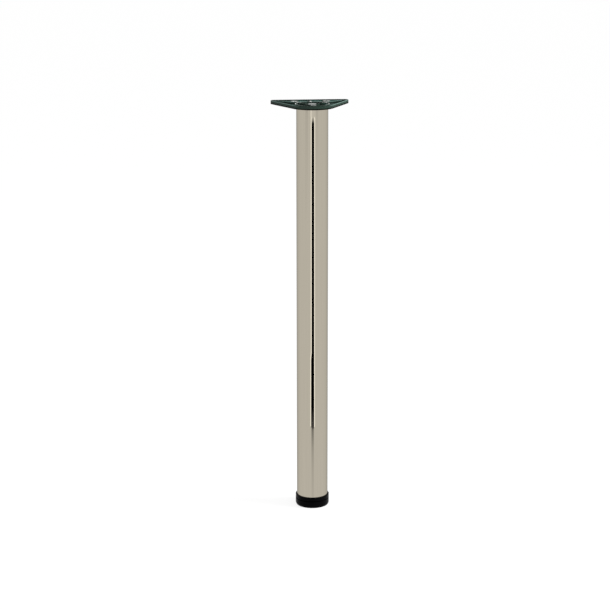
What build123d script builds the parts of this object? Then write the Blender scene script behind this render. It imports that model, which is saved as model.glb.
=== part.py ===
from build123d import *
from math import atan2, cos, degrees, hypot, radians, tan
import os

# Adjustable table leg: a tube between a screw-on mounting plate and a turning foot.
# Millimetres. The origin is the middle of the foot's underside, +Z runs up the tube,
# and the plate's straight edge lies towards +Y.

# Tube
tube_od = 60.0
tube_wall = 1.2
tube_length = 757.0
tube_end_chamfer = 0.3

# Foot disc and the collar above it
foot_proud = 2.4
disc_height = 13.0
disc_bevel_height = 3.5
disc_bevel_inset = 1.4
disc_edge_round = 0.7
disc_web = 3.5
disc_rim_wall = 5.0
disc_hub_wall = 4.0
disc_floor_skin = 3.5
disc_rib_count = 12
disc_rib_width = 1.8
disc_rib_relief = 0.6
groove_height = 1.0
stop_ring_r = 24.0
stop_ring_wall = 4.0
stop_gap = 0.3
collar_height = 7.0
collar_round = 0.8
collar_floor = 3.0

# Sleeve and plug that press into the tube's ends
insert_wall = 2.2
insert_gap = 0.35
crush_rib_count = 12
crush_rib_round = 0.8
press_clearance = 0.05
housing_wall = 3.0
housing_rib_count = 6
housing_rib_width = 2.0
sleeve_depth = 30.0
sleeve_housing_depth = 23.0
plug_depth = 33.0
plug_set_back = 0.5
nut_web = 4.0
nut_skirt = 2.0

# Mounting plate
plate_thickness = 7.0
plate_floor = 2.8
plate_rim = 3.0
plate_edge_round = 0.8
rib_chamfer = 0.4
nose_margin = 11.6
tip_x = 65.7
tip_y = 54.0
tip_r = 8.0
ring_rib_margin = 2.3
ring_rib_width = 1.6
rib_width = 3.0
hub_wall = 3.0
hub_web = 4.0
hub_taper = 3.0
hub_clearance = 0.4
guide_wall = 2.2

# Wood-screw holes
screw_hole_d = 5.5
screw_head_d = 10.6
screw_head_angle = 90
screw_boss_wall = 0.3
screw_boss_gap = 1.4
inner_screw_count = 3
wing_screw_x = 30.0
wing_screw_y = 40.0
wing_boss_r = 7.5

# Threaded hardware
thread_d = 10.0
thread_chamfer = 1.0
thread_clearance = 0.05
bolt_hole_clearance = 0.25
hex_flats = 16.0
hex_clearance = 0.1
hex_turning_angle = 30
hex_turning_margin = 0.25
bolt_head_height = 6.4
bolt_head_sink = 0.4
bolt_length = 35.0
washer_od = 20.0
washer_thickness = 2.0
washer_recess_clearance = 1.0
nut_height = 8.4
thin_nut_height = 5.0
thin_nut_room = 1.2
spindle_length = 42.0
spindle_head_r = 8.0
spindle_head_height = 6.4
spindle_clearance = 0.05

# Heights above the floor
collar_bottom = disc_height + groove_height
collar_core_bottom = collar_bottom + collar_floor
foot_nut_bottom = collar_bottom + hex_clearance
foot_nut_top = foot_nut_bottom + nut_height
tube_bottom = collar_bottom + collar_height
sleeve_top = tube_bottom + sleeve_depth
sleeve_housing_top = tube_bottom + sleeve_housing_depth
plate_bottom = tube_bottom + tube_length
table_plane = plate_bottom + plate_thickness
recess_floor = table_plane - bolt_head_sink - bolt_head_height - washer_thickness
bolt_seat = recess_floor + washer_thickness
hub_bottom = recess_floor - hub_web
lock_nut_bottom = hub_bottom - thin_nut_height
plug_top = plate_bottom - plug_set_back
plug_bottom = plug_top - plug_depth
plug_floor = lock_nut_bottom - thin_nut_room
plug_web_bottom = plug_floor - nut_web
top_nut_bottom = plug_web_bottom - nut_height
plug_housing_bottom = top_nut_bottom - nut_skirt
head_cavity_top = disc_floor_skin + spindle_head_height + 2 * spindle_clearance
spindle_bottom = disc_floor_skin + spindle_clearance
spindle_seat = spindle_bottom + spindle_head_height
stop_ring_top = collar_bottom - stop_gap

# Radii
tube_or = tube_od / 2
tube_ir = tube_or - tube_wall
foot_r = tube_or + foot_proud
disc_bottom_r = foot_r - disc_bevel_inset
disc_core_r = foot_r - disc_rim_wall
disc_hub_r = spindle_head_r + disc_hub_wall
insert_r = tube_ir - insert_gap
core_r = insert_r - insert_wall
crush_rib_tip_r = tube_ir - press_clearance
thread_r = thread_d / 2
nut_bore_r = thread_r + thread_clearance
bolt_hole_r = thread_r + bolt_hole_clearance
hex_r = hex_flats / 2
hex_corner_r = hex_r / cos(radians(30))
pocket_r = hex_r + hex_clearance
housing_r = pocket_r / cos(radians(30)) + housing_wall
recess_r = washer_od / 2 + washer_recess_clearance
hub_r = recess_r + hub_wall
guide_r = hub_r + hub_clearance
nose_r = tube_or + nose_margin
ring_rib_r = tube_or + ring_rib_margin
screw_boss_r = screw_head_d / 2 + screw_boss_wall
inner_screw_r = hub_r + screw_boss_gap + screw_boss_r

tip_reach = hypot(tip_x, tip_y)
tip_angle = degrees(atan2(tip_y, tip_x))
back_edge_y = tip_y + tip_r
wing_rib_start = wing_screw_x * tip_y / tip_x

os.makedirs("parts", exist_ok=True)


def plate_outline(inset):
    """Nose and two tips, joined by their common tangents, drawn in by the inset."""
    Circle(nose_r - inset)
    with Locations((-tip_x, tip_y), (tip_x, tip_y)):
        Circle(tip_r - inset)
    make_hull()


def insert_skirt():
    """Round skirt with the small half-round ribs that crush as it goes into the tube."""
    Circle(insert_r)
    with PolarLocations(crush_rib_tip_r - crush_rib_round, crush_rib_count):
        Circle(crush_rib_round)


def ribbed_core(boss_r):
    """The space inside the skirt, less a round boss and the ribs that carry it."""
    Circle(core_r)
    Circle(boss_r, mode=Mode.SUBTRACT)
    with PolarLocations(core_r / 2, housing_rib_count):
        Rectangle(core_r, housing_rib_width, mode=Mode.SUBTRACT)


def turned_hexagon(bottom, height):
    """Hexagon bar with its corners turned off at both ends."""
    turned_r = hex_r - hex_turning_margin
    turned_depth = (hex_corner_r - turned_r) * tan(radians(hex_turning_angle))
    with BuildPart() as bar:
        with BuildSketch(Plane.XY.offset(bottom)):
            RegularPolygon(hex_r, 6, major_radius=False)
        extrude(amount=height)
        with BuildSketch(Plane.XZ):
            Polygon(
                (0, bottom),
                (turned_r, bottom),
                (hex_corner_r, bottom + turned_depth),
                (hex_corner_r, bottom + height - turned_depth),
                (turned_r, bottom + height),
                (0, bottom + height),
                align=None,
            )
        revolve(axis=Axis.Z, mode=Mode.INTERSECT)
    return bar.part


def hexagon_nut(bottom, height):
    """Nut with a plain bore that clears the thread's crests."""
    with BuildPart() as nut:
        add(turned_hexagon(bottom, height))
        with BuildSketch(Plane.XY.offset(bottom)):
            Circle(nut_bore_r)
        extrude(amount=height, mode=Mode.SUBTRACT)
    return nut.part


# Tube
with BuildPart() as tube:
    with BuildSketch(Plane.XY.offset(tube_bottom)):
        Circle(tube_or)
        Circle(tube_ir, mode=Mode.SUBTRACT)
    extrude(amount=tube_length)
    chamfer(tube.edges().filter_by(GeomType.CIRCLE).group_by(SortBy.RADIUS)[-1], tube_end_chamfer)
tube.part.label = "tube"
export_step(tube.part, "parts/tube.step")

# Mounting plate: a die casting with a rim, a ring round the tube's end, ribs and screw bosses
with BuildPart() as mounting_plate:
    with BuildSketch(Plane.XY.offset(plate_bottom)):
        plate_outline(0)
    extrude(amount=plate_thickness)
    fillet(
        mounting_plate.edges().group_by(Axis.Z)[0] + mounting_plate.edges().group_by(Axis.Z)[-1],
        plate_edge_round,
    )

    # Recess on the table side, between the rim, the ring, the hub, the bosses and the ribs
    with BuildSketch(Plane.XY.offset(table_plane)):
        plate_outline(plate_rim)
        Circle(ring_rib_r, mode=Mode.SUBTRACT)
        Circle(ring_rib_r - ring_rib_width)
        Circle(hub_r, mode=Mode.SUBTRACT)
        with Locations((-tip_x, tip_y), (tip_x, tip_y)):
            Circle(tip_r, mode=Mode.SUBTRACT)
        with PolarLocations(inner_screw_r, inner_screw_count, start_angle=-90):
            Circle(screw_boss_r, mode=Mode.SUBTRACT)
        with Locations((-wing_screw_x, wing_screw_y), (wing_screw_x, wing_screw_y)):
            Circle(wing_boss_r, mode=Mode.SUBTRACT)
        wing_rib_middle = (wing_rib_start + back_edge_y) / 2
        with Locations((-wing_screw_x, wing_rib_middle), (wing_screw_x, wing_rib_middle)):
            Rectangle(rib_width, back_edge_y - wing_rib_start, mode=Mode.SUBTRACT)
        with Locations((tip_x / 2, tip_y / 2)):
            Rectangle(tip_reach, rib_width, rotation=tip_angle, mode=Mode.SUBTRACT)
        with Locations((-tip_x / 2, tip_y / 2)):
            Rectangle(tip_reach, rib_width, rotation=-tip_angle, mode=Mode.SUBTRACT)
        with Locations((0, (back_edge_y - nose_r) / 2)):
            Rectangle(rib_width, back_edge_y + nose_r, mode=Mode.SUBTRACT)
    extrude(amount=plate_floor - plate_thickness, mode=Mode.SUBTRACT)
    table_face = mounting_plate.faces().filter_by(Axis.Z).sort_by(Axis.Z)[-1]
    chamfer(table_face.inner_wires().edges(), rib_chamfer)

    # Hub that stands down into the plug, with the recess for the bolt's head and washer
    with BuildSketch(Plane.XY.offset(plate_bottom)):
        Circle(hub_r)
    extrude(amount=plate_bottom - hub_bottom, dir=(0, 0, -1), taper=hub_taper)
    with BuildSketch(Plane.XY.offset(table_plane)):
        Circle(recess_r)
    extrude(amount=recess_floor - table_plane, mode=Mode.SUBTRACT)
    with BuildSketch(Plane.XY.offset(recess_floor)):
        Circle(bolt_hole_r)
    extrude(amount=-hub_web, mode=Mode.SUBTRACT)

    # Screw holes, countersunk from below, where the plate's +Y lies along the plane's -Y
    with Locations(Plane(origin=(0, 0, plate_bottom), x_dir=(1, 0, 0), z_dir=(0, 0, -1))):
        with Locations((-tip_x, -tip_y), (tip_x, -tip_y)):
            CounterSinkHole(screw_hole_d / 2, screw_head_d / 2, plate_thickness, screw_head_angle)
        with Locations((-wing_screw_x, -wing_screw_y), (wing_screw_x, -wing_screw_y)):
            CounterSinkHole(screw_hole_d / 2, screw_head_d / 2, plate_thickness, screw_head_angle)
        with PolarLocations(inner_screw_r, inner_screw_count, start_angle=90):
            CounterSinkHole(screw_hole_d / 2, screw_head_d / 2, plate_thickness, screw_head_angle)
mounting_plate.part.label = "mounting_plate"
export_step(mounting_plate.part, "parts/mounting_plate.step")

# Bolt that stands down out of the plate
with BuildPart() as plate_bolt:
    add(turned_hexagon(bolt_seat, bolt_head_height))
    with BuildSketch(Plane.XY.offset(bolt_seat)):
        Circle(thread_r)
    extrude(amount=-bolt_length)
    chamfer(plate_bolt.edges().sort_by(Axis.Z)[0], thread_chamfer)
plate_bolt.part.label = "plate_bolt"
export_step(plate_bolt.part, "parts/plate_bolt.step")

# Washer under the bolt's head
with BuildPart() as bolt_washer:
    with BuildSketch(Plane.XY.offset(recess_floor)):
        Circle(washer_od / 2)
        Circle(bolt_hole_r, mode=Mode.SUBTRACT)
    extrude(amount=washer_thickness)
bolt_washer.part.label = "bolt_washer"
export_step(bolt_washer.part, "parts/bolt_washer.step")

# Thin nut that locks the bolt to the plate's hub
with BuildPart() as lock_nut:
    add(hexagon_nut(lock_nut_bottom, thin_nut_height))
lock_nut.part.label = "lock_nut"
export_step(lock_nut.part, "parts/lock_nut.step")

# Plug in the tube's top, hollow above and below the web that the nut pulls against
with BuildPart() as top_plug:
    with BuildSketch(Plane.XY.offset(plug_bottom)):
        insert_skirt()
    extrude(amount=plug_depth)
    with BuildSketch(Plane.XY.offset(plug_floor)):
        ribbed_core(guide_r + guide_wall)
        Circle(guide_r)
    extrude(amount=plug_top - plug_floor, mode=Mode.SUBTRACT)
    with BuildSketch(Plane.XY.offset(plug_web_bottom)):
        ribbed_core(housing_r)
    extrude(amount=plug_bottom - plug_web_bottom, mode=Mode.SUBTRACT)
    with BuildSketch(Plane.XY.offset(plug_bottom)):
        Circle(core_r)
    extrude(amount=plug_housing_bottom - plug_bottom, mode=Mode.SUBTRACT)
    with BuildSketch(Plane.XY.offset(plug_housing_bottom)):
        RegularPolygon(pocket_r, 6, major_radius=False)
    extrude(amount=plug_web_bottom - plug_housing_bottom, mode=Mode.SUBTRACT)
    with BuildSketch(Plane.XY.offset(plug_web_bottom)):
        Circle(bolt_hole_r)
    extrude(amount=nut_web, mode=Mode.SUBTRACT)
top_plug.part.label = "top_plug"
export_step(top_plug.part, "parts/top_plug.step")

# Nut held in the top plug
with BuildPart() as top_nut:
    add(hexagon_nut(top_nut_bottom, nut_height))
top_nut.part.label = "top_nut"
export_step(top_nut.part, "parts/top_nut.step")

# Sleeve in the tube's bottom, whose collar shows below the tube
with BuildPart() as foot_sleeve:
    with BuildSketch(Plane.XY.offset(collar_bottom)):
        Circle(foot_r)
    extrude(amount=collar_height)
    fillet(foot_sleeve.edges().filter_by(GeomType.CIRCLE), collar_round)
    with BuildSketch(Plane.XY.offset(tube_bottom)):
        insert_skirt()
    extrude(amount=sleeve_depth)
    with BuildSketch(Plane.XY.offset(collar_core_bottom)):
        ribbed_core(housing_r)
    extrude(amount=sleeve_top - collar_core_bottom, mode=Mode.SUBTRACT)
    with BuildSketch(Plane.XY.offset(sleeve_housing_top)):
        Circle(core_r)
    extrude(amount=sleeve_top - sleeve_housing_top, mode=Mode.SUBTRACT)
    with BuildSketch(Plane.XY.offset(collar_bottom)):
        RegularPolygon(pocket_r, 6, major_radius=False)
    extrude(amount=foot_nut_top - collar_bottom, mode=Mode.SUBTRACT)
    with BuildSketch(Plane.XY.offset(foot_nut_top)):
        Circle(bolt_hole_r)
    extrude(amount=sleeve_housing_top - foot_nut_top, mode=Mode.SUBTRACT)
foot_sleeve.part.label = "foot_sleeve"
export_step(foot_sleeve.part, "parts/foot_sleeve.step")

# Nut held in the foot sleeve
with BuildPart() as foot_nut:
    add(hexagon_nut(foot_nut_bottom, nut_height))
foot_nut.part.label = "foot_nut"
export_step(foot_nut.part, "parts/foot_nut.step")

# Spindle, with the round head that the foot disc is moulded about
with BuildPart() as foot_spindle:
    with BuildSketch(Plane.XY.offset(spindle_bottom)):
        Circle(spindle_head_r)
    extrude(amount=spindle_head_height)
    with BuildSketch(Plane.XY.offset(spindle_seat)):
        Circle(thread_r)
    extrude(amount=spindle_length)
    chamfer(foot_spindle.edges().sort_by(Axis.Z)[-1], thread_chamfer)
foot_spindle.part.label = "foot_spindle"
export_step(foot_spindle.part, "parts/foot_spindle.step")

# Foot disc: a turned form, cored from below between its rim, ribs and hub
with BuildPart() as foot_disc:
    with BuildSketch(Plane.XZ):
        Polygon(
            (0, 0),
            (disc_bottom_r, 0),
            (foot_r, disc_bevel_height),
            (foot_r, disc_height),
            (0, disc_height),
            align=None,
        )
    revolve(axis=Axis.Z)
    fillet(foot_disc.edges().filter_by(GeomType.CIRCLE), disc_edge_round)
    with BuildSketch(Plane.XY.offset(disc_height)):
        Circle(stop_ring_r)
        Circle(stop_ring_r - stop_ring_wall, mode=Mode.SUBTRACT)
    extrude(amount=stop_ring_top - disc_height)
    with BuildSketch():
        Circle(disc_core_r)
        Circle(disc_hub_r, mode=Mode.SUBTRACT)
        with PolarLocations(disc_core_r / 2, disc_rib_count):
            Rectangle(disc_core_r, disc_rib_width, mode=Mode.SUBTRACT)
    extrude(amount=disc_height - disc_web, mode=Mode.SUBTRACT)
    with BuildSketch():
        Circle(disc_core_r)
        Circle(disc_hub_r, mode=Mode.SUBTRACT)
    extrude(amount=disc_rib_relief, mode=Mode.SUBTRACT)
    with BuildSketch(Plane.XY.offset(disc_floor_skin)):
        Circle(spindle_head_r + spindle_clearance)
    extrude(amount=head_cavity_top - disc_floor_skin, mode=Mode.SUBTRACT)
    with BuildSketch(Plane.XY.offset(head_cavity_top)):
        Circle(thread_r + spindle_clearance)
    extrude(amount=disc_height - head_cavity_top, mode=Mode.SUBTRACT)
foot_disc.part.label = "foot_disc"
export_step(foot_disc.part, "parts/foot_disc.step")
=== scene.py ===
import math

import bmesh
import bpy
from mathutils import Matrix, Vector


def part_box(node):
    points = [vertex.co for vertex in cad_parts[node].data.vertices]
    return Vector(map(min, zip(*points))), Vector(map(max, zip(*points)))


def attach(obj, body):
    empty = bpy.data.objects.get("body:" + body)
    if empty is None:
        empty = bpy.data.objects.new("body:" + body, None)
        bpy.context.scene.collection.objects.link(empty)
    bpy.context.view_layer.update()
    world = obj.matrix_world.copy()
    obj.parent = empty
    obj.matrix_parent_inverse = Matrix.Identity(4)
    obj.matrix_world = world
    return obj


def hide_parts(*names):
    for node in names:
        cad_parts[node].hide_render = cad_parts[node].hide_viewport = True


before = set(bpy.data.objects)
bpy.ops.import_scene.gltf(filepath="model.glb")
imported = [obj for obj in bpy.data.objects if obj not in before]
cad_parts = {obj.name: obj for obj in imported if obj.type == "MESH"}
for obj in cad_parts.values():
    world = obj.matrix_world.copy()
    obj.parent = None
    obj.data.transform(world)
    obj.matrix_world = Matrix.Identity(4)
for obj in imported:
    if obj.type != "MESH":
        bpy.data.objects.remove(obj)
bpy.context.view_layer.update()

MM = 0.001
WHITE = (1.0, 1.0, 1.0, 1.0)
BLACK = (0.0, 0.0, 0.0, 1.0)


def srgb(red, green, blue):
    """A colour given as it looks on a screen, from 0 to 255, in linear light."""
    def linear(value):
        share = value / 255
        return share / 12.92 if share <= 0.04045 else ((share + 0.055) / 1.055) ** 2.4
    return (linear(red), linear(green), linear(blue), 1.0)


# Camera

IMAGE_SIDE = 610
SENSOR = 36.0
FOCAL_PIXELS = 1751.2
AXIS_PIXEL_X = 312.26
CAMERA_DISTANCE = 3.2406
CAMERA_HEIGHT = 1.214
CAMERA_TILT = math.radians(14.10)
CAMERA_AZIMUTH = math.radians(-5.36)
CLIP_NEAR = 0.05
CLIP_FAR = 60.0


def level_place(distance, azimuth, height):
    """A place round the leg's axis: azimuth 0 is towards -Y, and it grows towards +X."""
    return Vector((math.sin(azimuth) * distance, -math.cos(azimuth) * distance, height))


def add_camera():
    """A camera aimed at the leg's axis, with its frame shifted to set the axis right of the middle."""
    data = bpy.data.cameras.new("photo_camera")
    data.sensor_width = SENSOR
    data.lens = FOCAL_PIXELS / IMAGE_SIDE * SENSOR
    data.shift_x = (IMAGE_SIDE / 2 - AXIS_PIXEL_X) / IMAGE_SIDE
    data.clip_start = CLIP_NEAR
    data.clip_end = CLIP_FAR
    camera = bpy.data.objects.new("photo_camera", data)
    camera.location = level_place(CAMERA_DISTANCE, CAMERA_AZIMUTH, CAMERA_HEIGHT)
    camera.rotation_euler = (math.pi / 2 - CAMERA_TILT, 0, CAMERA_AZIMUTH)
    bpy.context.scene.collection.objects.link(camera)
    bpy.context.scene.camera = camera


# Node helpers

def add_node(tree, kind, **settings):
    """A node with its properties set."""
    node = tree.nodes.new(kind)
    for name, value in settings.items():
        setattr(node, name, value)
    return node


def new_material(name):
    """A node material that holds only a Principled shader and its output."""
    material = bpy.data.materials.new(name)
    material.use_nodes = True
    tree = material.node_tree
    tree.nodes.clear()
    output = add_node(tree, "ShaderNodeOutputMaterial")
    shader = add_node(tree, "ShaderNodeBsdfPrincipled")
    tree.links.new(shader.outputs["BSDF"], output.inputs["Surface"])
    return material, tree, shader


def new_group(name, inputs, outputs):
    """A node group; each input is (name, kind, default) and each output is (name, kind)."""
    group = bpy.data.node_groups.new(name, "ShaderNodeTree")
    for label, kind, default in inputs:
        group.interface.new_socket(label, in_out="INPUT", socket_type=kind).default_value = default
    for label, kind in outputs:
        group.interface.new_socket(label, in_out="OUTPUT", socket_type=kind)
    return group, add_node(group, "NodeGroupInput"), add_node(group, "NodeGroupOutput")


def place_group(tree, group, values):
    """A group in a material, with the material's own values."""
    node = add_node(tree, "ShaderNodeGroup", node_tree=group)
    for label, value in values.items():
        node.inputs[label].default_value = value
    return node


def mix_colours(tree, factor, first, second):
    """Two colours, each fixed or from a socket, mixed by a factor that changes over the surface."""
    mix = add_node(tree, "ShaderNodeMix", data_type="RGBA")
    for socket, colour in ((mix.inputs[6], first), (mix.inputs[7], second)):
        if isinstance(colour, tuple):
            socket.default_value = colour
        else:
            tree.links.new(colour, socket)
    tree.links.new(factor, mix.inputs[0])
    return mix.outputs[2]


def calculate(tree, operation, *values):
    """One sum on values that are fixed or come from sockets."""
    node = add_node(tree, "ShaderNodeMath", operation=operation)
    for socket, value in zip(node.inputs, values):
        if isinstance(value, (int, float)):
            socket.default_value = value
        else:
            tree.links.new(value, socket)
    return node.outputs["Value"]


def spread(tree, factor, low, high, first=0.0, last=1.0):
    """A factor from first to last spread from low to high."""
    node = add_node(tree, "ShaderNodeMapRange")
    node.inputs["From Min"].default_value = first
    node.inputs["From Max"].default_value = last
    node.inputs["To Min"].default_value = low
    node.inputs["To Max"].default_value = high
    tree.links.new(factor, node.inputs["Value"])
    return node.outputs["Result"]


def bump(tree, height, distance):
    """A normal raised by a height that changes over the surface."""
    node = add_node(tree, "ShaderNodeBump")
    node.inputs["Distance"].default_value = distance
    tree.links.new(height, node.inputs["Height"])
    return node.outputs["Normal"]


# Effects, as node groups

FULL_WEAR = 0.75


def make_grain():
    """Noise in the piece's own coordinates, with its own scale along each axis."""
    group, start, end = new_group(
        "grain",
        [
            ("Scale", "NodeSocketVector", (100.0, 100.0, 100.0)),
            ("Detail", "NodeSocketFloat", 2.0),
            ("Low", "NodeSocketFloat", 0.3),
            ("High", "NodeSocketFloat", 0.7),
        ],
        [("Value", "NodeSocketFloat")],
    )
    place = add_node(group, "ShaderNodeTexCoord")
    stretch = add_node(group, "ShaderNodeVectorMath", operation="MULTIPLY")
    noise = add_node(group, "ShaderNodeTexNoise")
    noise.inputs["Scale"].default_value = 1.0
    level = add_node(group, "ShaderNodeMapRange")
    group.links.new(place.outputs["Object"], stretch.inputs[0])
    group.links.new(start.outputs["Scale"], stretch.inputs[1])
    group.links.new(stretch.outputs["Vector"], noise.inputs["Vector"])
    group.links.new(start.outputs["Detail"], noise.inputs["Detail"])
    group.links.new(noise.outputs["Fac"], level.inputs["Value"])
    group.links.new(start.outputs["Low"], level.inputs["From Min"])
    group.links.new(start.outputs["High"], level.inputs["From Max"])
    group.links.new(level.outputs["Result"], end.inputs["Value"])
    return group


def make_edge_wear(grain):
    """A mask of the sharp outer edges, broken up by grain."""
    group, start, end = new_group(
        "edge_wear",
        [("Sharpness", "NodeSocketFloat", 0.56), ("Scale", "NodeSocketVector", (400.0, 400.0, 400.0))],
        [("Mask", "NodeSocketFloat")],
    )
    geometry = add_node(group, "ShaderNodeNewGeometry")
    edge = add_node(group, "ShaderNodeMapRange")
    edge.inputs["From Max"].default_value = FULL_WEAR
    broken = add_node(group, "ShaderNodeGroup", node_tree=grain)
    product = add_node(group, "ShaderNodeMath", operation="MULTIPLY")
    group.links.new(geometry.outputs["Pointiness"], edge.inputs["Value"])
    group.links.new(start.outputs["Sharpness"], edge.inputs["From Min"])
    group.links.new(start.outputs["Scale"], broken.inputs["Scale"])
    group.links.new(edge.outputs["Result"], product.inputs[0])
    group.links.new(broken.outputs["Value"], product.inputs[1])
    group.links.new(product.outputs["Value"], end.inputs["Mask"])
    return group


def make_glint_pad(grain):
    """A mask of a round or oval pad or ring of unpainted metal on a casting's top, and of its mirror
    image, set where glints fall as painted highlights.
    """
    group, start, end = new_group(
        "glint_pad",
        [
            ("Middle X", "NodeSocketFloat", 0.0),
            ("Middle Y", "NodeSocketFloat", 0.0),
            ("Inner Radius", "NodeSocketFloat", 0.0),
            ("Outer Radius", "NodeSocketFloat", 0.01),
            ("Depth Scale", "NodeSocketFloat", 1.0),
            ("Height", "NodeSocketFloat", 0.0),
        ],
        [("Mask", "NodeSocketFloat")],
    )
    place = add_node(group, "ShaderNodeTexCoord")
    parts = add_node(group, "ShaderNodeSeparateXYZ")
    group.links.new(place.outputs["Object"], parts.inputs["Vector"])
    off_middle = calculate(group, "ABSOLUTE", parts.outputs["X"])
    side = calculate(group, "SUBTRACT", off_middle, start.outputs["Middle X"])
    depth = calculate(group, "SUBTRACT", parts.outputs["Y"], start.outputs["Middle Y"])
    depth = calculate(group, "MULTIPLY", depth, start.outputs["Depth Scale"])
    side_square = calculate(group, "POWER", side, 2.0)
    depth_square = calculate(group, "POWER", depth, 2.0)
    reach = calculate(group, "SQRT", calculate(group, "ADD", side_square, depth_square))
    outside = calculate(group, "GREATER_THAN", reach, start.outputs["Inner Radius"])
    inside = calculate(group, "LESS_THAN", reach, start.outputs["Outer Radius"])
    on_top = calculate(group, "GREATER_THAN", parts.outputs["Z"], start.outputs["Height"])
    broken = place_group(group, grain, {"Scale": (500.0, 500.0, 500.0), "Low": 0.2, "High": 0.45})
    glint_mask = calculate(group, "MULTIPLY", calculate(group, "MULTIPLY", outside, inside), on_top)
    group.links.new(calculate(group, "MULTIPLY", glint_mask, broken.outputs["Value"]), end.inputs["Mask"])
    return group


# Finishes

# The plate, as the casting is made
PLATE_THICKNESS = 7.0 * MM
PLATE_MIDDLE_Y = 20.0 * MM
RING_TOP_R = 31.5 * MM
RING_TOP_WIDTH = 1.9 * MM
WING_BOSS_X = 30.0 * MM
WING_BOSS_Y = 40.0 * MM
WING_BOSS_R = 7.5 * MM
FRONT_BOSS_Y = -21.0 * MM
FRONT_BOSS_R = 5.6 * MM
RIB_SPOT_Y = 33.0 * MM
RIB_SPOT_WIDTH = 2.5 * MM
RIB_SPOT_DEPTH = 5.0 * MM

# Where and how far its top is unpainted metal, set where glints fall as painted highlights
GLINT_DEPTH = 0.2 * MM
GLINT_FADE_X = (15.0 * MM, 27.0 * MM)
GLINT_FADE_Y = (-8.0 * MM, 4.0 * MM)
GLINT_LEAST = 0.25
WING_GLINT_FADE_Y = (35.0 * MM, 39.0 * MM)
WING_GLINT_LEAST = 0.2
FRONT_BOSS_GLINT = 0.3

# Where its paint and the light and shade painted on it change: depths below its top, heights above its
# underside, offsets and slopes
SUNK_BY = 0.5 * MM
INNER_WALL_LIGHT_FADE = (1.71 * MM, 2.79 * MM)
LIP_HIGHLIGHT_FADE = (0.63 * MM, 1.17 * MM)
LIP_HIGHLIGHT_FADE_X = (26.0 * MM, 38.0 * MM)
BOTTOM_SHADE_FADE = (1.89 * MM, 2.43 * MM)
FACING_UP = 0.5
STILL_UPRIGHT = 0.9

# Its paint, and the colours of the light and shade painted on it
RIM_DULLNESS = 0.7
PAINT_SHINE = 0.22
PAINT_SKIN = 0.02 * MM
PAINT_ROUGHNESS = (0.62, 0.75)
PAINT_DARK = srgb(20, 35, 28)
PAINT_PALE = srgb(28, 46, 38)
PAINTED_FLOOR_SHEEN = srgb(48, 70, 64)
PAINTED_INNER_WALL_LIGHT = srgb(112, 148, 140)
PAINTED_LIP_HIGHLIGHT = srgb(88, 112, 106)
BARE_METAL_GLINT = srgb(240, 243, 240)

# The other pieces
TUBE_GRAZING_TINT = (0.55, 0.55, 0.55, 1.0)
CHROME_ROUGHNESS = (0.02, 0.05)
ZINC_ROUGHNESS = (0.22, 0.38)
PLUG_ROUGHNESS = (0.5, 0.65)
PLUG_SKIN = 0.03 * MM
FOOT_ROUGHNESS = (0.26, 0.36)
FOOT_SKIN = 0.01 * MM
FOOT_SHINE = 0.03


def make_tube_chrome(grain):
    """Bright plated tube, warm grey, with faint polishing lines along it and soft hand marks."""
    material, tree, shader = new_material("tube_chrome")
    polish = place_group(tree, grain, {"Scale": (900.0, 900.0, 6.0), "Detail": 3.0})
    marks = place_group(
        tree,
        grain,
        {"Scale": (14.0, 14.0, 9.0), "Detail": 4.0, "Low": 0.45, "High": 0.75},
    )
    colour = mix_colours(tree, polish.outputs["Value"], srgb(178, 171, 156), srgb(182, 175, 160))
    tree.links.new(colour, shader.inputs["Base Color"])
    tree.links.new(spread(tree, marks.outputs["Value"], *CHROME_ROUGHNESS), shader.inputs["Roughness"])
    shader.inputs["Specular Tint"].default_value = TUBE_GRAZING_TINT
    shader.inputs["Metallic"].default_value = 1.0
    return material


def casting_zones(tree, place, parts, top):
    """Masks of the plate's sunk floor, top faces, inner walls, and the top and foot of its outer wall,
    where light and shade are painted: a sheen on the floor, light deeper down the inner walls, a
    highlight along the outer wall's top and shade along its foot.
    """
    geometry = add_node(tree, "ShaderNodeNewGeometry")
    facing = add_node(tree, "ShaderNodeSeparateXYZ")
    tree.links.new(geometry.outputs["True Normal"], facing.inputs["Vector"])
    up = calculate(tree, "GREATER_THAN", facing.outputs["Z"], FACING_UP)
    sunk = calculate(tree, "LESS_THAN", parts.outputs["Z"], top - SUNK_BY)
    # The sunk floor, which takes a painted sheen
    floor = calculate(tree, "MULTIPLY", up, sunk)
    rim = calculate(tree, "SUBTRACT", up, floor)

    slope = calculate(tree, "ABSOLUTE", facing.outputs["Z"])
    wall = calculate(tree, "LESS_THAN", slope, STILL_UPRIGHT)
    from_middle = add_node(tree, "ShaderNodeVectorMath", operation="SUBTRACT")
    from_middle.inputs[1].default_value = (0.0, PLATE_MIDDLE_Y, top)
    outward = add_node(tree, "ShaderNodeVectorMath", operation="DOT_PRODUCT")
    tree.links.new(place.outputs["Object"], from_middle.inputs[0])
    tree.links.new(from_middle.outputs["Vector"], outward.inputs[0])
    tree.links.new(geometry.outputs["True Normal"], outward.inputs[1])
    inwards = calculate(tree, "LESS_THAN", outward.outputs["Value"], 0.0)
    inner = calculate(tree, "MULTIPLY", wall, inwards)
    outer = calculate(tree, "SUBTRACT", wall, inner)

    below = calculate(tree, "SUBTRACT", top, parts.outputs["Z"])
    above = calculate(tree, "SUBTRACT", parts.outputs["Z"], top - PLATE_THICKNESS)
    # Painted light deeper down the inner walls, a painted highlight along the outer wall's top, and
    # painted shade along its bottom
    lit_inner_wall = calculate(tree, "MULTIPLY", inner, spread(tree, below, 0.0, 1.0, *INNER_WALL_LIGHT_FADE))
    lip_highlight = calculate(tree, "MULTIPLY", outer, spread(tree, below, 1.0, 0.0, *LIP_HIGHLIGHT_FADE))
    foot = calculate(tree, "MULTIPLY", outer, spread(tree, above, 1.0, 0.0, *BOTTOM_SHADE_FADE))
    return floor, rim, lit_inner_wall, lip_highlight, foot


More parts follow.
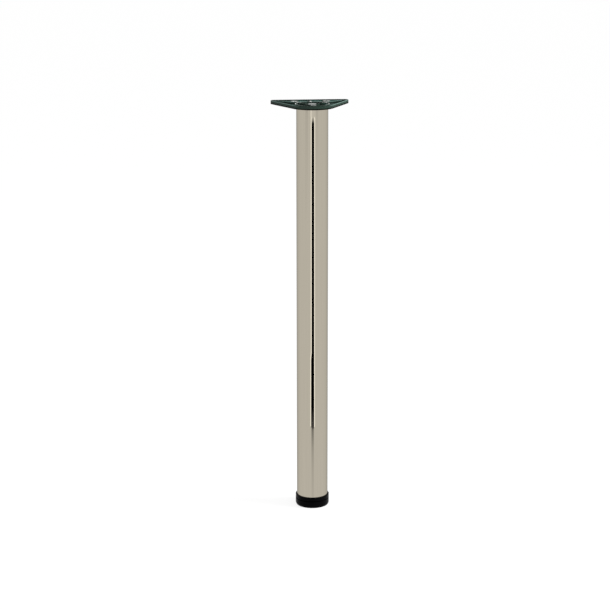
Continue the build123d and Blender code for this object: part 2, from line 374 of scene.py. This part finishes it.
def make_plate_paint(grain, glint_pad):
    """Black powder coat with a green cast, with light and shade painted on: a paler sheen on the sunk
    floor, inner walls paler deeper down, a pale highlight along the outer wall's top on the wings,
    black shade along its bottom, and unpainted metal set as glints on ring, wing bosses and two small
    spots.
    """
    material, tree, shader = new_material("plate_paint")
    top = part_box("mounting_plate")[1].z
    cast = place_group(tree, grain, {"Scale": (60.0, 60.0, 60.0), "Detail": 3.0})
    skin = place_group(tree, grain, {"Scale": (1100.0, 1100.0, 1100.0), "Detail": 1.0})
    place = add_node(tree, "ShaderNodeTexCoord")
    parts = add_node(tree, "ShaderNodeSeparateXYZ")
    tree.links.new(place.outputs["Object"], parts.inputs["Vector"])
    floor, rim, lit_inner_wall, lip_highlight, foot = casting_zones(tree, place, parts, top)

    def glint_mask(**values):
        named = {label.replace("_", " ").title(): value for label, value in values.items()}
        pad = place_group(tree, glint_pad, {"Height": top - GLINT_DEPTH, **named})
        return pad.outputs["Mask"]

    # The painted glints are strongest at the sides and towards the back
    off_middle = calculate(tree, "ABSOLUTE", parts.outputs["X"])
    sideways = spread(tree, off_middle, GLINT_LEAST, 1.0, *GLINT_FADE_X)
    backwards = spread(tree, parts.outputs["Y"], GLINT_LEAST, 1.0, *GLINT_FADE_Y)
    forwards = spread(tree, parts.outputs["Y"], 1.0, WING_GLINT_LEAST, *WING_GLINT_FADE_Y)
    ring = glint_mask(
        inner_radius=RING_TOP_R - RING_TOP_WIDTH / 2,
        outer_radius=RING_TOP_R + RING_TOP_WIDTH / 2,
    )
    ring = calculate(tree, "MULTIPLY", calculate(tree, "MULTIPLY", ring, sideways), backwards)
    wings = glint_mask(middle_x=WING_BOSS_X, middle_y=WING_BOSS_Y, outer_radius=WING_BOSS_R)
    wings = calculate(tree, "MULTIPLY", wings, sideways)
    wings = calculate(tree, "MULTIPLY", wings, forwards)
    rib_spot = glint_mask(
        middle_y=RIB_SPOT_Y,
        outer_radius=RIB_SPOT_WIDTH,
        depth_scale=RIB_SPOT_WIDTH / RIB_SPOT_DEPTH,
    )
    front_boss = glint_mask(middle_y=FRONT_BOSS_Y, outer_radius=FRONT_BOSS_R)
    front_boss = calculate(tree, "MULTIPLY", front_boss, FRONT_BOSS_GLINT)
    bare_glint = calculate(tree, "MAXIMUM", calculate(tree, "MAXIMUM", ring, wings), rib_spot)
    bare_glint = calculate(tree, "MAXIMUM", bare_glint, front_boss)

    colour = mix_colours(tree, cast.outputs["Value"], PAINT_DARK, PAINT_PALE)
    # Painted sheen: the sunk floor paler than the paint
    colour = mix_colours(tree, floor, colour, PAINTED_FLOOR_SHEEN)
    # Painted light: the inner walls paler deeper down
    colour = mix_colours(tree, lit_inner_wall, colour, PAINTED_INNER_WALL_LIGHT)
    # Painted highlight along the outer wall's top, on the wings only
    on_wings = spread(tree, off_middle, 0.0, 1.0, *LIP_HIGHLIGHT_FADE_X)
    wing_lip_highlight = calculate(tree, "MULTIPLY", lip_highlight, on_wings)
    colour = mix_colours(tree, wing_lip_highlight, colour, PAINTED_LIP_HIGHLIGHT)
    # Painted shade: the outer wall black along its bottom
    colour = mix_colours(tree, foot, colour, BLACK)
    # Unpainted metal where the glints fall: painted highlights
    tree.links.new(mix_colours(tree, bare_glint, colour, BARE_METAL_GLINT), shader.inputs["Base Color"])
    tree.links.new(bare_glint, shader.inputs["Metallic"])
    tree.links.new(spread(tree, skin.outputs["Value"], *PAINT_ROUGHNESS), shader.inputs["Roughness"])
    tree.links.new(bump(tree, skin.outputs["Value"], PAINT_SKIN), shader.inputs["Normal"])
    # The painted shade, and in part the rim tops, lose their shine
    dull = calculate(tree, "MAXIMUM", foot, calculate(tree, "MULTIPLY", rim, RIM_DULLNESS))
    tree.links.new(spread(tree, dull, PAINT_SHINE, 0.0), shader.inputs["Specular IOR Level"])
    return material


def make_zinc(grain, edge_wear):
    """Zinc plate on steel: pale blue-grey metal with cloudy spangle and brighter edges."""
    material, tree, shader = new_material("zinc_plate")
    cloud = place_group(
        tree,
        grain,
        {"Scale": (330.0, 330.0, 330.0), "Detail": 3.0, "Low": 0.4, "High": 0.6},
    )
    worn = place_group(tree, edge_wear, {})
    colour = mix_colours(tree, cloud.outputs["Value"], srgb(52, 56, 55), srgb(176, 182, 179))
    colour = mix_colours(tree, worn.outputs["Mask"], colour, srgb(206, 212, 210))
    tree.links.new(colour, shader.inputs["Base Color"])
    tree.links.new(spread(tree, cloud.outputs["Value"], *ZINC_ROUGHNESS), shader.inputs["Roughness"])
    shader.inputs["Metallic"].default_value = 1.0
    return material


def make_plug_plastic(grain):
    """Matt moulded plastic of the plug inside the tube."""
    material, tree, shader = new_material("plug_plastic")
    skin = place_group(tree, grain, {"Scale": (700.0, 700.0, 700.0), "Detail": 2.0})
    colour = mix_colours(tree, skin.outputs["Value"], srgb(24, 24, 25), srgb(34, 34, 35))
    tree.links.new(colour, shader.inputs["Base Color"])
    tree.links.new(spread(tree, skin.outputs["Value"], *PLUG_ROUGHNESS), shader.inputs["Roughness"])
    tree.links.new(bump(tree, skin.outputs["Value"], PLUG_SKIN), shader.inputs["Normal"])
    return material


def make_foot_plastic(grain):
    """Half-gloss black moulding of the collar and the foot disc."""
    material, tree, shader = new_material("foot_plastic")
    cloud = place_group(tree, grain, {"Scale": (45.0, 45.0, 45.0), "Detail": 4.0})
    skin = place_group(tree, grain, {"Scale": (900.0, 900.0, 900.0), "Detail": 2.0})
    colour = mix_colours(tree, cloud.outputs["Value"], srgb(1, 1, 2), srgb(3, 3, 4))
    tree.links.new(colour, shader.inputs["Base Color"])
    tree.links.new(spread(tree, skin.outputs["Value"], *FOOT_ROUGHNESS), shader.inputs["Roughness"])
    tree.links.new(bump(tree, skin.outputs["Value"], FOOT_SKIN), shader.inputs["Normal"])
    shader.inputs["Specular IOR Level"].default_value = FOOT_SHINE
    return material


# Spindle, with a real thread

SPINDLE_HEAD_HEIGHT = 6.4 * MM
THREAD_PITCH = 1.5 * MM
THREAD_CREST_R = 5.0 * MM
THREAD_ROOT_R = 4.08 * MM
THREAD_CREST_HALF = 0.1 * MM
THREAD_ROOT_HALF = 0.56 * MM
THREAD_END_GAP = 1.6 * MM
THREAD_FOOT_DEPTH = 0.08 * MM
THREAD_END_SHARE = 0.05
THREAD_STEPS = 40
ROUND_STEPS = 64
END_CHAMFER = 0.9 * MM
HEAD_CHAMFER = 0.4 * MM
SMOOTH_ANGLE = math.radians(30)


def lathe(mesh, profile, steps):
    """A closed turned form from (radius, height) points that start and end on the axis."""
    rings = []
    for radius, height in profile:
        if radius == 0:
            rings.append([mesh.verts.new((0, 0, height))])
            continue
        ring = []
        for step in range(steps):
            turn = 2 * math.pi * step / steps
            ring.append(mesh.verts.new((radius * math.cos(turn), radius * math.sin(turn), height)))
        rings.append(ring)
    for lower, upper in zip(rings, rings[1:]):
        for step in range(steps):
            after = (step + 1) % steps
            if len(lower) == 1:
                mesh.faces.new((lower[0], upper[after], upper[step]))
            elif len(upper) == 1:
                mesh.faces.new((lower[step], lower[after], upper[0]))
            else:
                mesh.faces.new((lower[step], lower[after], upper[after], upper[step]))


def thread_ridge(mesh, bottom, top):
    """A closed ridge wound from bottom to top, fading into the core at both ends."""
    turns = (top - bottom) / THREAD_PITCH
    steps = int(turns * THREAD_STEPS)
    base_r = THREAD_ROOT_R - THREAD_FOOT_DEPTH
    sections = []
    for step in range(steps + 1):
        angle = 2 * math.pi * step / THREAD_STEPS
        height = bottom + THREAD_PITCH * step / THREAD_STEPS
        from_end = min(step, steps - step)
        fade = min(1.0, from_end / (THREAD_STEPS / 2) + THREAD_END_SHARE)
        crest_r = base_r + (THREAD_CREST_R - base_r) * fade
        points = (
            (base_r, -THREAD_ROOT_HALF),
            (crest_r, -THREAD_CREST_HALF),
            (crest_r, THREAD_CREST_HALF),
            (base_r, THREAD_ROOT_HALF),
        )
        sections.append([
            mesh.verts.new((radius * math.cos(angle), radius * math.sin(angle), height + rise))
            for radius, rise in points
        ])
    for near, far in zip(sections, sections[1:]):
        for side in range(4):
            after = (side + 1) % 4
            mesh.faces.new((near[side], far[side], far[after], near[after]))
    mesh.faces.new(sections[0])
    mesh.faces.new(reversed(sections[-1]))


def add_piece(name, mesh, material):
    """A mesh object of the bmesh, with outward faces and its material."""
    bmesh.ops.recalc_face_normals(mesh, faces=mesh.faces)
    data = bpy.data.meshes.new(name)
    mesh.to_mesh(data)
    mesh.free()
    data.materials.append(material)
    data.shade_smooth()
    data.set_sharp_from_angle(angle=SMOOTH_ANGLE)
    piece = bpy.data.objects.new(name, data)
    bpy.context.scene.collection.objects.link(piece)
    return piece


def make_spindle(zinc):
    """Stud with a round head at its foot and a rolled thread up to its end."""
    low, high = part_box("foot_spindle")
    seat = low.z + SPINDLE_HEAD_HEIGHT
    mesh = bmesh.new()
    lathe(
        mesh,
        [
            (0, low.z),
            (high.x - HEAD_CHAMFER, low.z),
            (high.x, low.z + HEAD_CHAMFER),
            (high.x, seat - HEAD_CHAMFER),
            (high.x - HEAD_CHAMFER, seat),
            (THREAD_CREST_R, seat),
            (THREAD_CREST_R, seat + THREAD_END_GAP),
            (THREAD_ROOT_R, seat + THREAD_END_GAP + END_CHAMFER),
            (THREAD_ROOT_R, high.z - THREAD_END_GAP / 2),
            (THREAD_ROOT_R - END_CHAMFER / 2, high.z),
            (0, high.z),
        ],
        ROUND_STEPS,
    )
    thread_ridge(mesh, seat + THREAD_END_GAP + END_CHAMFER / 2, high.z - THREAD_END_GAP)
    spindle = add_piece("threaded_spindle", mesh, zinc)
    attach(spindle, "spindle")
    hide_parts("foot_spindle")


# Stage: white floor and surroundings, and the dark gap that shows as a line along the tube

# Offsets are to the right of the gap's middle. A light is one strength, or stops of (place, strength)
FLOOR_SIDE = 40.0
FLOOR_COLOUR = (0.98, 0.98, 0.98, 1.0)
FLOOR_WHITE_SHARE = 0.8
KEY_SIZE = 1.2
KEY_POWER = 64.0
KEY_DISTANCE = 2.0
KEY_AZIMUTH = math.radians(78)
KEY_HEIGHT = 1.1
KEY_AIM = Vector((0, 0, 0.6))
GAP_DISTANCE = 0.40
GAP_AZIMUTH = CAMERA_AZIMUTH + math.radians(4.6)
GAP_RIGHT = Vector((math.cos(GAP_AZIMUTH), math.sin(GAP_AZIMUTH), 0))
GAP_HALF = 0.064
GAP_BOTTOM = 0.041
GAP_WIDER_FROM = 0.2
GAP_WIDER_STEP = 0.008
GAP_WIDER_BY = 0.028
GAP_TOP = 0.7105
GAP_LIGHT = ((0.0, 0.66), (0.0379, 0.4), (0.0425, 0.12), (0.086, 0.0), (0.699, 0.0), (0.7105, 1.0))
GAP_FAINT_LEFT = -0.072
GAP_FAINT_RIGHT = 0.044
PANEL_EDGE_WIDTH = 0.040
PANEL_EDGE_LIGHT = 2.0
HEAD_TOP = 0.76
HEAD_LEFT = -0.13
HEAD_STEP = -0.05
HEAD_LEFT_LIGHT = 1.4
HEAD_LIGHT = 1.08
SHADE_LEFT = (-0.58, -0.29)
SHADE_RIGHT = (0.17, 0.27)
SHADE_BOTTOM = 0.45
SHADE_LEFT_LIGHT = ((0.45, 1.0), (0.6, 0.95), (0.69, 0.9), (0.72, 0.8), (0.78, 0.76))
SHADE_RIGHT_LIGHT = ((0.45, 1.0), (0.6, 0.97), (0.69, 0.92), (0.72, 0.85), (0.78, 0.82))
TRACE_START = 0.09
TRACE_HEIGHT = 0.0004
TRACE_LIGHT = ((0.1, 0.9), (0.25, 0.82), (0.3138, 0.77), (0.3787, 0.7), (0.4, 0.66))


def make_light_material(name, strength):
    """Plain light with no shading of its own."""
    material = bpy.data.materials.new(name)
    material.use_nodes = True
    tree = material.node_tree
    tree.nodes.clear()
    output = add_node(tree, "ShaderNodeOutputMaterial")
    light = add_node(tree, "ShaderNodeEmission")
    light.inputs["Color"].default_value = WHITE
    light.inputs["Strength"].default_value = strength
    tree.links.new(light.outputs["Emission"], output.inputs["Surface"])
    return material


def make_fading_material(name, stops, direction):
    """Light whose strength follows stops of (distance in metres along a direction, strength)."""
    material = make_light_material(name, 1.0)
    tree = material.node_tree
    light = next(node for node in tree.nodes if node.type == "EMISSION")
    place = add_node(tree, "ShaderNodeTexCoord")
    along = add_node(tree, "ShaderNodeVectorMath", operation="DOT_PRODUCT")
    along.inputs[1].default_value = direction
    ramp = add_node(tree, "ShaderNodeValToRGB")
    while len(ramp.color_ramp.elements) < len(stops):
        ramp.color_ramp.elements.new(1.0)
    for element, (distance, strength) in zip(ramp.color_ramp.elements, stops):
        element.position = distance
        element.color = (strength, strength, strength, 1.0)
    tree.links.new(place.outputs["Object"], along.inputs[0])
    tree.links.new(along.outputs["Value"], ramp.inputs["Fac"])
    tree.links.new(ramp.outputs["Color"], light.inputs["Color"])
    return material


def make_floor_material():
    """White floor, clear from below: full white in reflections, and to the camera partly shaded."""
    material = bpy.data.materials.new("floor_white")
    material.use_nodes = True
    tree = material.node_tree
    tree.nodes.clear()
    output = add_node(tree, "ShaderNodeOutputMaterial")
    diffuse = add_node(tree, "ShaderNodeBsdfDiffuse")
    diffuse.inputs["Color"].default_value = FLOOR_COLOUR
    glow = add_node(tree, "ShaderNodeEmission")
    path = add_node(tree, "ShaderNodeLightPath")
    above = add_node(tree, "ShaderNodeMixShader")
    glowing = calculate(tree, "MULTIPLY", path.outputs["Is Camera Ray"], FLOOR_WHITE_SHARE)
    glowing = calculate(tree, "MAXIMUM", glowing, path.outputs["Is Glossy Ray"])
    glowing = calculate(tree, "MAXIMUM", glowing, path.outputs["Is Transmission Ray"])
    tree.links.new(glowing, above.inputs["Fac"])
    tree.links.new(diffuse.outputs["BSDF"], above.inputs[1])
    tree.links.new(glow.outputs["Emission"], above.inputs[2])
    clear = add_node(tree, "ShaderNodeBsdfTransparent")
    geometry = add_node(tree, "ShaderNodeNewGeometry")
    both_sides = add_node(tree, "ShaderNodeMixShader")
    tree.links.new(geometry.outputs["Backfacing"], both_sides.inputs["Fac"])
    tree.links.new(above.outputs["Shader"], both_sides.inputs[1])
    tree.links.new(clear.outputs["BSDF"], both_sides.inputs[2])
    tree.links.new(both_sides.outputs["Shader"], output.inputs["Surface"])
    return material


def add_sheet(name, corners, material):
    """A flat staged sheet through its corners, which stays level with what the foot stands on."""
    data = bpy.data.meshes.new(name)
    data.from_pydata([tuple(corner) for corner in corners], [], [tuple(range(len(corners)))])
    data.materials.append(material)
    sheet = bpy.data.objects.new(name, data)
    bpy.context.scene.collection.objects.link(sheet)
    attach(sheet, "spindle")
    return sheet


def show_only_in_reflections(sheet):
    """The sheet is seen in gloss and metal, and casts nothing."""
    sheet.visible_camera = False
    sheet.visible_diffuse = False
    sheet.visible_shadow = False
    sheet.visible_transmission = False
    sheet.visible_volume_scatter = False


def upright(left, right, bottom, top):
    """The corners of an upright rectangle, as standing_strip takes them."""
    return [(left, bottom), (right, bottom), (right, top), (left, top)]


def standing_strip(name, sides, material):
    """An upright strip facing the leg, from (offset to the right, height) points in the gap's plane."""
    middle = level_place(GAP_DISTANCE, GAP_AZIMUTH, 0)
    corners = [middle + GAP_RIGHT * offset + Vector((0, 0, height)) for offset, height in sides]
    show_only_in_reflections(add_sheet(name, corners, material))


def add_lamp():
    """Soft round lamp at the right, which gloss and metal don't show."""
    lamp = bpy.data.lights.new("soft_key", "AREA")
    lamp.shape = "DISK"
    lamp.size = KEY_SIZE
    lamp.energy = KEY_POWER
    key = bpy.data.objects.new("soft_key", lamp)
    key.location = level_place(KEY_DISTANCE, KEY_AZIMUTH, KEY_HEIGHT)
    key.rotation_euler = (KEY_AIM - key.location).to_track_quat("-Z", "Y").to_euler()
    key.visible_glossy = False
    bpy.context.scene.collection.objects.link(key)


def add_surroundings():
    """Even white light from all sides."""
    world = bpy.data.worlds.new("white_surroundings")
    world.use_nodes = True
    background = world.node_tree.nodes["Background"]
    background.inputs["Color"].default_value = WHITE
    background.inputs["Strength"].default_value = 1.0
    bpy.context.scene.world = world


def add_gap():
    """The dark gap between two bright panel edges, wider to the left low down, with panels above it."""
    left_low = -GAP_HALF - GAP_WIDER_BY
    edge_right = GAP_HALF + PANEL_EDGE_WIDTH
    wider_top = GAP_WIDER_FROM + GAP_WIDER_STEP
    wider_bottom = GAP_WIDER_FROM - GAP_WIDER_STEP
    standing_strip(
        "dark_gap",
        [
            (GAP_FAINT_LEFT, 0),
            (GAP_FAINT_RIGHT, 0),
            (GAP_FAINT_RIGHT, GAP_BOTTOM),
            (GAP_HALF, GAP_BOTTOM),
            (GAP_HALF, GAP_TOP),
            (-GAP_HALF, GAP_TOP),
            (-GAP_HALF, wider_top),
            (left_low, wider_bottom),
            (left_low, GAP_BOTTOM),
            (GAP_FAINT_LEFT, GAP_BOTTOM),
        ],
        make_fading_material("gap_dark", GAP_LIGHT, (0, 0, 1)),
    )
    edge_light = make_light_material("panel_edge", PANEL_EDGE_LIGHT)
    standing_strip("panel_edge_right", upright(GAP_HALF, edge_right, GAP_BOTTOM, GAP_TOP), edge_light)
    standing_strip(
        "panel_edge_left",
        [
            (left_low - PANEL_EDGE_WIDTH, GAP_BOTTOM),
            (left_low, GAP_BOTTOM),
            (left_low, wider_bottom),
            (-GAP_HALF, wider_top),
            (-GAP_HALF, GAP_TOP),
            (-edge_right, GAP_TOP),
            (-edge_right, wider_top),
            (left_low - PANEL_EDGE_WIDTH, wider_bottom),
        ],
        edge_light,
    )
    for name, left, right, light in (
        ("panel_head_left", HEAD_LEFT, HEAD_STEP, HEAD_LEFT_LIGHT),
        ("panel_head", HEAD_STEP, edge_right, HEAD_LIGHT),
    ):
        material = make_light_material(name, light)
        standing_strip(name, upright(left, right, GAP_TOP, HEAD_TOP), material)


def add_shades():
    """A soft shade on each side of the gap, deeper towards the top."""
    for name, (left, right), stops in (
        ("shade_left", SHADE_LEFT, SHADE_LEFT_LIGHT),
        ("shade_right", SHADE_RIGHT, SHADE_RIGHT_LIGHT),
    ):
        sides = upright(left, right, SHADE_BOTTOM, stops[-1][0])
        standing_strip(name, sides, make_fading_material(name, stops, (0, 0, 1)))


def add_trace():
    """The gap's faint dark reflection in the floor, painted on a sheet just above it that only gloss
    and metal show, which narrows from the gap towards the leg.
    """
    ahead = level_place(1, GAP_AZIMUTH, 0)
    tube_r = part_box("tube")[1].x
    start_share = (TRACE_START - tube_r) / (GAP_DISTANCE - tube_r)
    lift = Vector((0, 0, TRACE_HEIGHT))
    show_only_in_reflections(add_sheet(
        "gap_on_floor",
        [
            ahead * TRACE_START + GAP_RIGHT * GAP_FAINT_LEFT * start_share + lift,
            ahead * GAP_DISTANCE + GAP_RIGHT * GAP_FAINT_LEFT + lift,
            ahead * GAP_DISTANCE + GAP_RIGHT * GAP_FAINT_RIGHT + lift,
            ahead * TRACE_START + GAP_RIGHT * GAP_FAINT_RIGHT * start_share + lift,
        ],
        make_fading_material("gap_floor", TRACE_LIGHT, ahead),
    ))


def add_stage():
    """Floor, lamp, white surroundings, and what the tube reflects from in front of it."""
    half = FLOOR_SIDE / 2
    add_sheet(
        "floor",
        [(-half, -half, 0), (half, -half, 0), (half, half, 0), (-half, half, 0)],
        make_floor_material(),
    )
    add_lamp()
    add_surroundings()
    add_gap()
    add_shades()
    add_trace()


# Dressing

def dress(nodes, material):
    """The CAD nodes take the finish in every material slot."""
    for name in nodes:
        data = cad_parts[name].data
        data.materials.clear()
        data.materials.append(material)


add_camera()
grain = make_grain()
edge_wear = make_edge_wear(grain)
glint_pad = make_glint_pad(grain)
zinc = make_zinc(grain, edge_wear)
dress(["tube"], make_tube_chrome(grain))
dress(["mounting_plate"], make_plate_paint(grain, glint_pad))
dress(["plate_bolt", "bolt_washer", "lock_nut", "top_nut", "foot_nut"], zinc)
dress(["top_plug"], make_plug_plastic(grain))
dress(["foot_sleeve", "foot_disc"], make_foot_plastic(grain))
make_spindle(zinc)
add_stage()

bpy.context.scene.view_settings.view_transform = "Standard"
